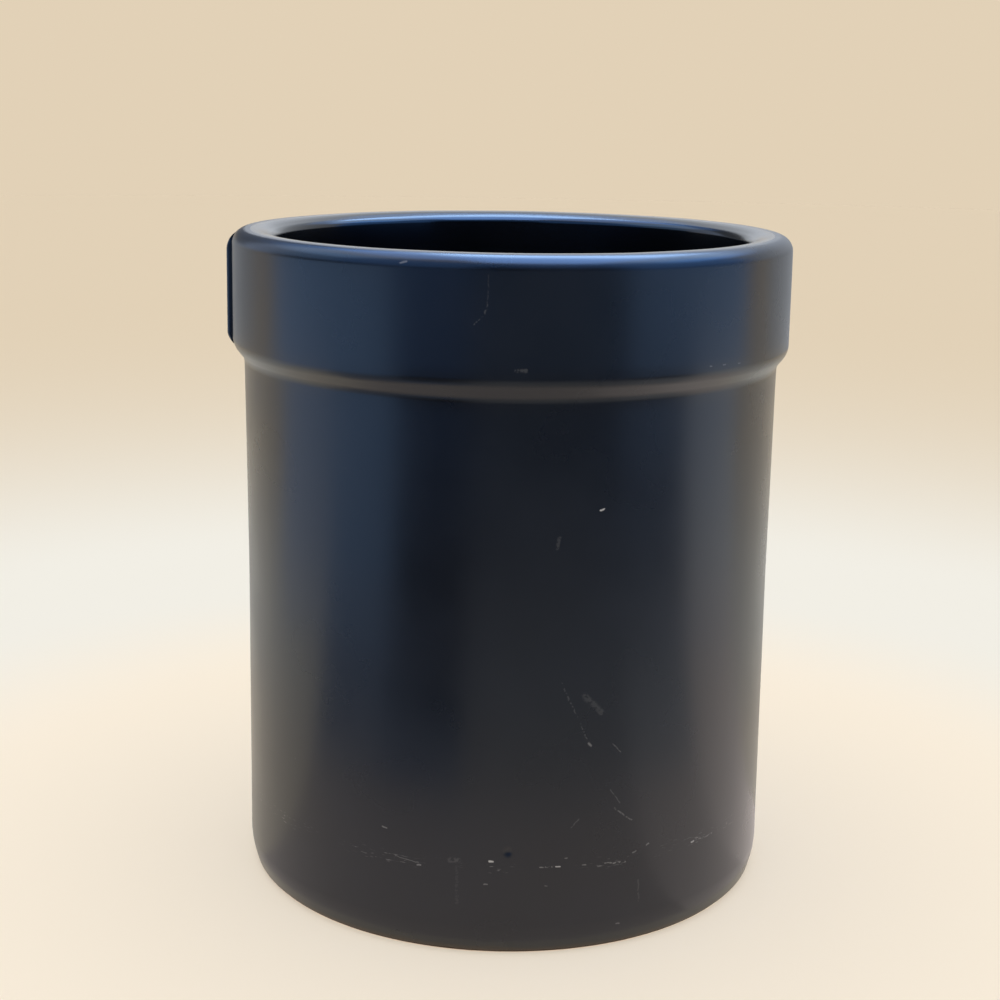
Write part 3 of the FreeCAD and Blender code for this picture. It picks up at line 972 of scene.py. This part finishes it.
# %% Place the camera
CAMERA_DISTANCE = 0.48558
CAMERA_HEIGHT = 0.21656
CAMERA_PAN = math.radians(0.275)
CAMERA_TILT = math.radians(13.245)
CAMERA_ROLL = math.radians(0.844)
LENS_MM = 63.69
SENSOR_MM = 36
bpy.ops.object.camera_add()
camera = bpy.context.object
camera.name = "photo_camera"
camera.data.lens = LENS_MM
camera.data.sensor_width = SENSOR_MM
spot = (CAMERA_DISTANCE * math.sin(PHOTO_SIDE), -CAMERA_DISTANCE * math.cos(PHOTO_SIDE), CAMERA_HEIGHT)
facing = Matrix.Rotation(PHOTO_SIDE + CAMERA_PAN, 4, "Z")
tilted = Matrix.Rotation(math.pi / 2 - CAMERA_TILT, 4, "X")
rolled = Matrix.Rotation(CAMERA_ROLL, 4, "Z")
camera.matrix_world = Matrix.Translation(spot) @ facing @ tilted @ rolled
bpy.context.scene.camera = camera
print("camera at", [round(c, 4) for c in camera.matrix_world.translation])

# %% [markdown]
# ## Floor
#
# The crock stands on a warm paper sheet that runs on behind it into a backdrop. The sheet's tone is
# a painted pool of light: it is palest a hand's width from the crock, painted brighter next to the
# crock where its own shade falls, and turns to tan further out, where the light falls off. Its tone
# is made from the distance to the axis, so it has no edge in any view, and the far end of the floor
# has the same tan as the world behind.

# %% Paper floor
SHEET_RADIUS = 3.0
SHEET_SIDES = 96
TAN = (0.76, 0.638, 0.474, 1)
# Painted light: the paper next to the crock is painted brighter against the crock's own shade, and tan
# far out for the light's falloff.
LIT_NEAR_PAPER = (0.96, 0.855, 0.708, 1)
LIT_PALE_PAPER = (0.89, 0.862, 0.785, 1)
NEAR_UNTIL, PALE_FROM = 0.16, 0.28
# The turn to tan is reckoned in one over the distance, so that it is slow far out.
PALE_UNTIL, TAN_FROM = 2.9, 0.75
bpy.ops.object.select_all(action="DESELECT")
bpy.ops.mesh.primitive_circle_add(vertices=SHEET_SIDES, radius=SHEET_RADIUS, fill_type="NGON")
floor = bpy.context.object
floor.name = "paper_floor"
paper, tree, shader = start_material("paper_painted_light_pool", 1.0)
spot = put(tree, "ShaderNodeTexCoord", {}).outputs["Object"]
distance = vectors(tree, "LENGTH", spot)[1]
nearness = reckon(tree, "DIVIDE", 1.0, distance)
colour = mix_colours(tree, ramp(tree, distance, NEAR_UNTIL, PALE_FROM), LIT_NEAR_PAPER, LIT_PALE_PAPER)
colour = mix_colours(tree, ramp(tree, nearness, PALE_UNTIL, TAN_FROM), colour, TAN)
tree.links.new(colour, shader.inputs["Base Color"])
shader.inputs["Specular IOR Level"].default_value = 0.0
floor.data.materials.append(paper)
print("paper floor with a radius of", SHEET_RADIUS, "m")

# %% [markdown]
# ## Light
#
# A glaze this dark shows hardly anything but reflections, so what stands round the crock matters as
# much as the lamps. The photograph has a wide cool panel above, cool light low down at both sides, a warm
# backdrop and a dim front, as in a small light tent. The panels and cloths of the tent are seen by
# reflections only. Plain white light from above and all round lights every surface, at a level where a
# colour renders as written.

# %% World
FILL = (0.07, 0.07, 0.07, 1)
world = bpy.data.worlds.new("light_tent")
bpy.context.scene.world = world
world.use_nodes = True
tree = world.node_tree
backdrop = tree.nodes["Background"]
rays = put(tree, "ShaderNodeLightPath", {}).outputs
seen = reckon(tree, "MAXIMUM", rays["Is Camera Ray"], rays["Is Glossy Ray"])
seen = reckon(tree, "MAXIMUM", seen, rays["Is Transmission Ray"])
tree.links.new(mix_colours(tree, seen, FILL, TAN), backdrop.inputs["Color"])
backdrop.inputs["Strength"].default_value = 1.0
bpy.context.scene.view_settings.view_transform = "Standard"
print("world fill", FILL[0], "and its backdrop", TAN[:3])

# %% Light from above
OVERHEAD_SPREAD = math.radians(70)


def add_overhead(name, share, casts_shadow):
    """Wide soft light from straight above, which gives this share of the light on a level surface."""
    bpy.ops.object.light_add(type="SUN")
    lamp = bpy.context.object
    lamp.name = name
    lamp.data.energy = share * math.pi
    lamp.data.angle = OVERHEAD_SPREAD
    lamp.data.use_shadow = casts_shadow
    lamp.visible_glossy = False
    print(name, "gives", share)


add_overhead("soft_key", share=0.15, casts_shadow=True)
add_overhead("tent_bounce", share=0.78, casts_shadow=False)

# %% [markdown]
# ## Panels and cloths of the tent
#
# The roof of the tent is made of level area lamps, and its sides and floor of cloths that glow. The
# cloths are no lamps: each glowing cloth is a painted reflection of a lit side or floor of the tent,
# and each black cloth is painted shade in the reflections, where the front and the floor in front lie
# in shade. A world texture could show the same, but it lies endlessly far away, and a tent this small
# shifts along the wall from the lip to the foot. Each panel and cloth has one of five tones, or black,
# and a strength.

# %% Panels above
ROOF = 0.75
DEEP_BLUE = (0.15, 0.4, 1)
SOFT_BLUE = (0.33, 0.57, 1)
# An area lamp of this many watts to the square metre has a glow of 1.
WATTS_FOR_GLOW = 4


def tent_place(right, behind, height):
    """Place in the tent, measured from the crock's axis as the camera sees it."""
    towards = Vector((math.sin(PHOTO_SIDE), -math.cos(PHOTO_SIDE), 0))
    sideways = Vector((math.cos(PHOTO_SIDE), math.sin(PHOTO_SIDE), 0))
    return right * sideways - behind * towards + Vector((0, 0, height))


def add_panel(name, across, along, tone, strength):
    """A level panel above the crock, for reflections. A mirror shows its tone times its strength."""
    bpy.ops.object.light_add(type="AREA")
    panel = bpy.context.object
    panel.name = name
    width = across[1] - across[0]
    depth = along[1] - along[0]
    panel.data.shape = "RECTANGLE"
    panel.data.size = width
    panel.data.size_y = depth
    panel.data.color = tone
    panel.data.energy = WATTS_FOR_GLOW * width * depth * strength
    panel.visible_camera = False
    panel.visible_diffuse = False
    spot = tent_place(sum(across) / 2, sum(along) / 2, ROOF)
    panel.matrix_world = Matrix.Translation(spot) @ Matrix.Rotation(PHOTO_SIDE, 4, "Z")


PANELS = [
    ("above_front", (-0.12, 0.35), (-0.45, 0.08), DEEP_BLUE, 5.6),
    ("above_back", (-0.12, 0.35), (0.08, 0.5), SOFT_BLUE, 8.5),
    ("above_left", (-0.35, -0.12), (-0.25, 0.5), DEEP_BLUE, 2.8),
    ("above_right", (0.35, 0.65), (-0.25, 0.5), SOFT_BLUE, 2.7),
    ("above_far_left", (-0.9, -0.35), (-0.25, 0.5), SOFT_BLUE, 1.1),
    ("above_far_right", (0.65, 0.9), (-0.25, 0.5), DEEP_BLUE, 2.8),
    ("above_far_back", (-0.65, 0.9), (0.5, 0.8), DEEP_BLUE, 0.8),
]
for row in PANELS:
    add_panel(*row)
print("the tent has", len(PANELS), "panels at", ROOF, "m")

# %% How a cloth is hung
CLOTH_STEPS = 24


def add_cloth(name, inner, outer, turns, tone, strength):
    """A cloth between two (radius, height) points and two turns in degrees, right of the camera."""
    first, last = (math.radians(turn) for turn in turns)
    cloth = start_piece(name)
    draw_section(cloth, [(*inner, 0, 0), (*outer, 0, 0)], closed=False)
    spin_section(cloth, CLOTH_STEPS, last - first)
    bpy.ops.object.mode_set(mode="OBJECT")
    cloth.rotation_euler.z = PHOTO_SIDE - math.pi / 2 + first
    bpy.ops.object.transform_apply(location=False, rotation=True, scale=False)
    # The cloth glows and shows only in reflections: a painted reflection, and painted shade where it is
    # black.
    glow_material, tree, shader = start_material(name, 1.0)
    shader.inputs["Base Color"].default_value = (0, 0, 0, 1)
    shader.inputs["Specular IOR Level"].default_value = 0.0
    shader.inputs["Emission Color"].default_value = (*tone, 1)
    shader.inputs["Emission Strength"].default_value = strength
    cloth.data.materials.append(glow_material)
    cloth.visible_camera = False
    cloth.visible_diffuse = False
    cloth.visible_transmission = False
    cloth.visible_shadow = False


# %% Hang the cloths
LIFT = 0.001
TENT_RADIUS = 0.95
FOOT = (0.0745, LIFT)
NEAR = (0.18, LIFT)
NEXT = (0.24, LIFT)
HALFWAY = (0.34, LIFT)
FAR = (0.55, LIFT)
HEM = (TENT_RADIUS, LIFT)
WAISTLINE = (TENT_RADIUS, 0.2)
SILL = (TENT_RADIUS, 0.24)
CHEST = (TENT_RADIUS, 0.35)
SHOULDER = (TENT_RADIUS, 0.6)
CROWN = (TENT_RADIUS, 1.3)
COOL_GREY = (0.6, 0.73, 1)
PALE_GREY = (0.88, 0.93, 1)
WARM_PAPER_GLOW = (1, 0.89, 0.83)
BLACK = (0, 0, 0)
# Glowing cloths are painted reflections of the tent's lit sides and floor; black ones are painted shade.
CLOTHS = [
    ("low_left", HEM, WAISTLINE, (-105, -45), SOFT_BLUE, 1.3),
    ("low_left_front", HEM, WAISTLINE, (-45, -15), DEEP_BLUE, 0.6),
    ("low_front", HEM, WAISTLINE, (-15, 45), SOFT_BLUE, 0.35),
    ("low_right", HEM, WAISTLINE, (45, 105), SOFT_BLUE, 1.1),
    ("middle_dark", WAISTLINE, CHEST, (-105, 45), BLACK, 0),
    ("middle_right", WAISTLINE, CHEST, (45, 105), DEEP_BLUE, 0.8),
    ("upper_left", CHEST, CROWN, (-105, -75), SOFT_BLUE, 1.1),
    ("upper_left_front", CHEST, CROWN, (-75, -15), DEEP_BLUE, 1.05),
    ("front_dark", CHEST, SHOULDER, (-15, 45), BLACK, 0),
    ("upper_front", SHOULDER, CROWN, (-15, 45), DEEP_BLUE, 0.75),
    ("upper_right", CHEST, CROWN, (45, 105), DEEP_BLUE, 1.5),
    ("back_right", SILL, CROWN, (105, 165), PALE_GREY, 0.8),
    ("back_middle", SILL, CROWN, (165, 195), PALE_GREY, 1.05),
    ("back_left_dark", SILL, CROWN, (195, 225), PALE_GREY, 0.15),
    ("back_left", SILL, CROWN, (225, 255), COOL_GREY, 1.0),
    ("low_back_right", HEM, SILL, (120, 165), PALE_GREY, 0.65),
    ("low_back_left", HEM, SILL, (205, 240), PALE_GREY, 0.55),
    ("close_front", FOOT, NEAR, (-75, 45), WARM_PAPER_GLOW, 0.66),
    ("close_right", FOOT, NEAR, (45, 75), WARM_PAPER_GLOW, 0.9),
    ("near_left", NEAR, HALFWAY, (-75, -45), COOL_GREY, 0.4),
    ("near_left_front", NEAR, NEXT, (-45, -15), SOFT_BLUE, 0.42),
    ("left_front_dark", NEXT, HEM, (-45, -15), BLACK, 0),
    ("near_front", NEAR, HALFWAY, (-15, 45), PALE_GREY, 0.4),
    ("near_right", NEAR, HALFWAY, (45, 75), PALE_GREY, 0.6),
    ("far_left", HALFWAY, HEM, (-75, -45), SOFT_BLUE, 0.9),
    ("far_front", HALFWAY, FAR, (-15, 45), COOL_GREY, 0.24),
    ("far_dark", FAR, HEM, (-15, 45), BLACK, 0),
    ("far_right", HALFWAY, HEM, (45, 75), COOL_GREY, 0.18),
    ("side_left", HALFWAY, HEM, (-105, -75), COOL_GREY, 1.0),
    ("side_right", FOOT, HALFWAY, (75, 105), WARM_PAPER_GLOW, 1.1),
    ("side_right_far", HALFWAY, HEM, (75, 105), PALE_GREY, 1.1),
]
for row in CLOTHS:
    add_cloth(*row)
print("the tent has", len(CLOTHS), "cloths")
